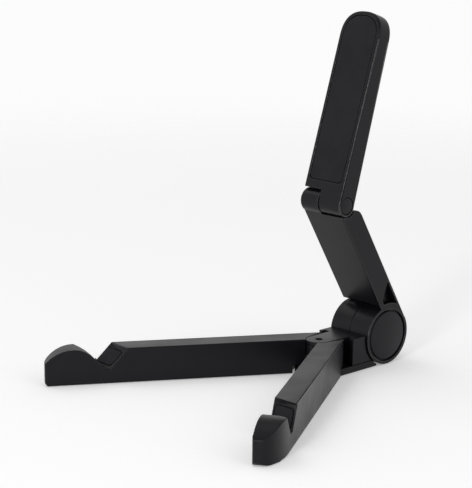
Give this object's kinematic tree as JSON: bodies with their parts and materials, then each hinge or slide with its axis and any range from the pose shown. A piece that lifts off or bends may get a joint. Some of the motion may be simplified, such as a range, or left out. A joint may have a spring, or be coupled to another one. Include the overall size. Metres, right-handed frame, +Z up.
{
  "type": "tablet stand",
  "caption": "Folding pocket stand for a tablet: a hub with two swinging notched legs and a two-part back arm on friction hinges.",
  "frame": {"origin": "centre of the rubber foot under the hub, on the surface the stand rests on", "axes": "+Z up, +X along the barrel hinge, -Y to the front, where the legs reach and the tablet stands"},
  "size_m": [0.1552, 0.1667, 0.1789],
  "materials": {
    "black_plastic": "satin moulded, fine texture",
    "cap_plastic": "satin moulded, slightly smoother",
    "black_rubber": "matt rubber",
    "plated_steel": "bright nickel plate",
    "nylon": "natural, matt"
  },
  "bodies": {
    "hub": {"hub_body": "black_plastic", "hub_base_plate": "black_plastic", "hub_screw_left": "plated_steel", "hub_screw_right": "plated_steel", "hub_foot_pad": "black_rubber", "hub_end_cap": "cap_plastic", "barrel_bolt": "plated_steel", "hub_friction_ring": "nylon", "barrel_spring_washer": "plated_steel", "barrel_flat_washer": "plated_steel", "barrel_nut": "plated_steel", "leg_pivot_pin": "plated_steel", "leg_friction_washer": "nylon"},
    "lower_arm": {"lower_arm": "black_plastic", "arm_end_cap": "cap_plastic", "arm_friction_ring": "nylon", "elbow_pin": "plated_steel", "elbow_washer": "nylon"},
    "upper_arm": {"upper_arm": "black_plastic", "upper_arm_pad": "black_rubber", "elbow_cap": "cap_plastic", "elbow_nut": "plated_steel"},
    "leg_left": {"leg_left": "black_plastic", "leg_left_base_cover": "black_plastic", "leg_left_screw_front": "plated_steel", "leg_left_screw_rear": "plated_steel", "leg_left_foot_pad": "black_rubber", "leg_left_notch_pad": "black_rubber"},
    "leg_right": {"leg_right": "black_plastic", "leg_right_base_cover": "black_plastic", "leg_right_screw_front": "plated_steel", "leg_right_screw_rear": "plated_steel", "leg_right_foot_pad": "black_rubber", "leg_right_notch_pad": "black_rubber"}
  },
  "joints": [
    {"name": "barrel_hinge", "type": "hinge", "parent": "hub", "child": "lower_arm", "pos_m": [0, 0.016, 0.0155], "axis": [-1, 0, 0], "range_deg": [-58.9, 36]},
    {"name": "elbow_hinge", "type": "hinge", "parent": "lower_arm", "child": "upper_arm", "pos_m": [0, -0.01725, 0.08689], "axis": [-1, 0, 0], "range_deg": [-48.3, 50]},
    {"name": "leg_left_hinge", "type": "hinge", "parent": "hub", "child": "leg_left", "pos_m": [0, -0.0211, 0.01], "axis": [0, 0, -1], "range_deg": [-31.9, 6]},
    {"name": "leg_right_hinge", "type": "hinge", "parent": "hub", "child": "leg_right", "pos_m": [0, -0.0211, 0.01], "axis": [0, 0, 1], "range_deg": [-31.9, 6]}
  ]
}
